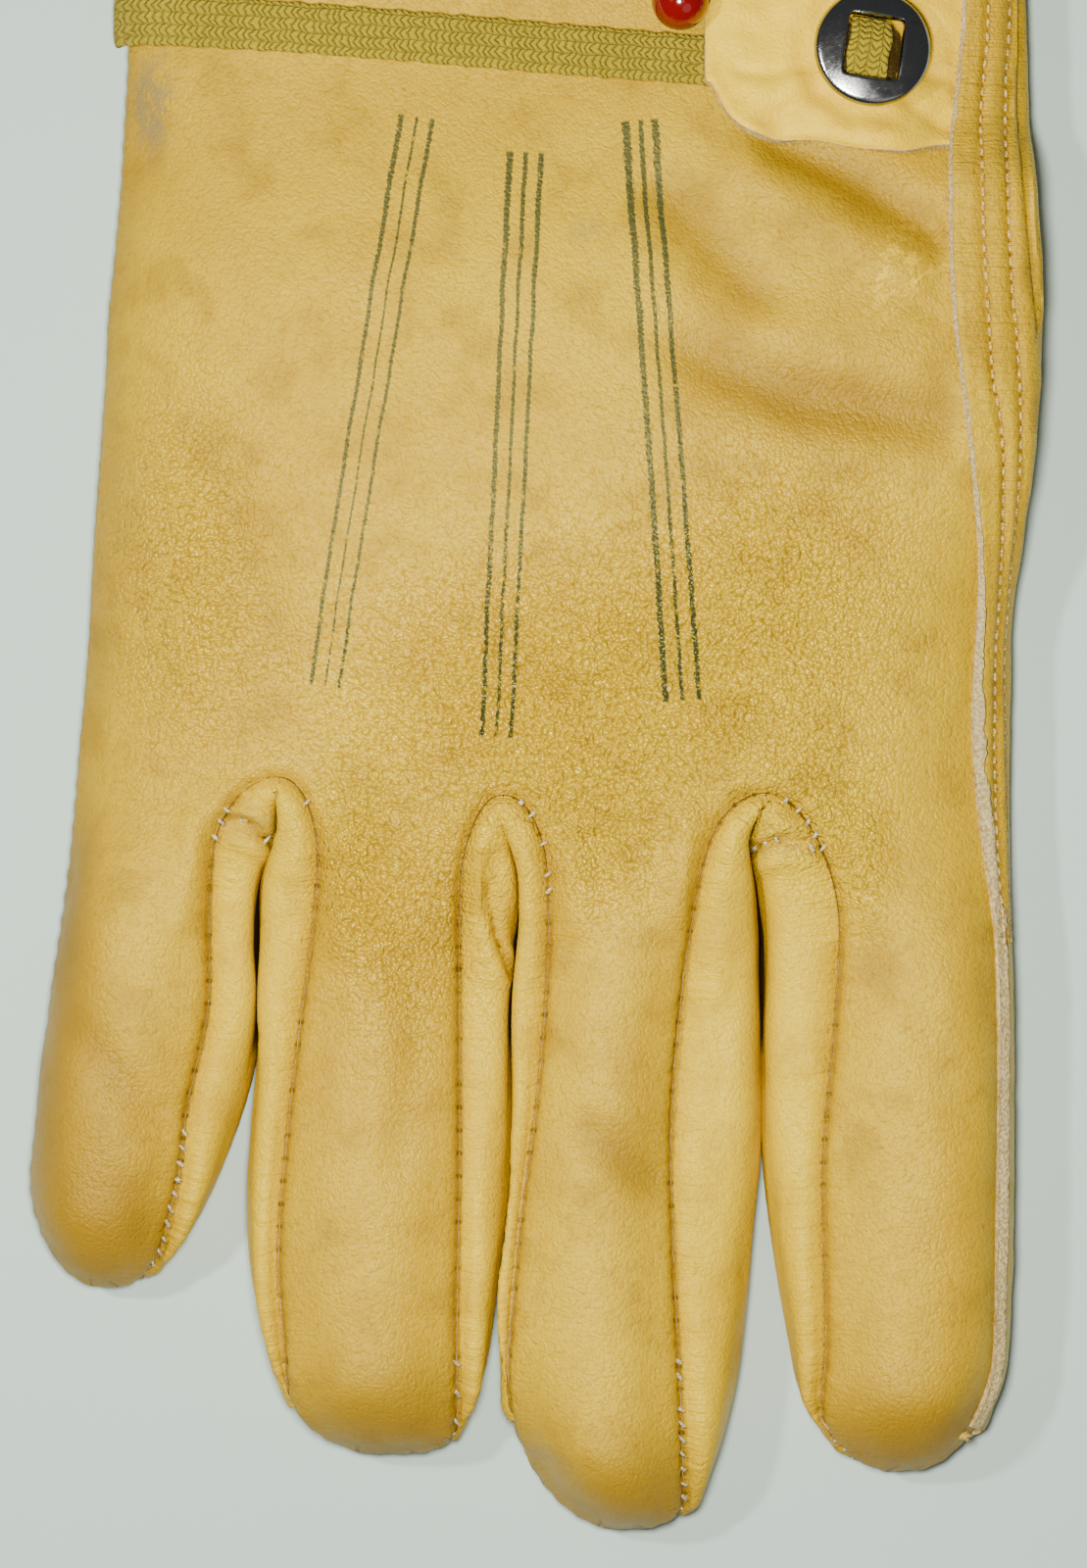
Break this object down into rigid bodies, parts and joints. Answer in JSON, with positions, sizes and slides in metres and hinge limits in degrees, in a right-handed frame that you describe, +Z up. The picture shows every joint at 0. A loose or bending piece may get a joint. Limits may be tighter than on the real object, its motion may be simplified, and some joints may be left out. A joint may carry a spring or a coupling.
{
  "type": "leather work glove",
  "caption": "Right-hand leather work glove laid palm down with its thumb folded under, side walls between the fingers, and a wrist tape with slide and bead.",
  "frame": {"origin": "middle of the footprint, on the surface the glove lies on", "axes": "+Z up from the surface, +Y from the fingertips to the open cuff, +X towards the thumb side"},
  "size_m": [0.1196, 0.24, 0.0187],
  "materials": {
    "leather": "worn grain leather, satin",
    "side_leather": "softer, paler leather, satin",
    "pale_leather": "pale leather, matt",
    "cotton": "olive cotton tape, matt",
    "steel": "polished, lightly scratched",
    "bead": "gloss"
  },
  "bodies": {
    "root": {"back": "leather", "palm": "leather", "thumb_upper": "leather", "thumb_lower": "leather", "fourchette_little_r": "side_leather", "fourchette_ring_l": "side_leather", "fourchette_ring_r": "side_leather", "fourchette_middle_l": "side_leather", "fourchette_middle_r": "side_leather", "fourchette_index_l": "side_leather", "tab": "pale_leather", "tape": "cotton", "tape_tail": "cotton", "tape_fold": "cotton", "slide": "steel", "bead": "bead"}
  },
  "joints": []
}
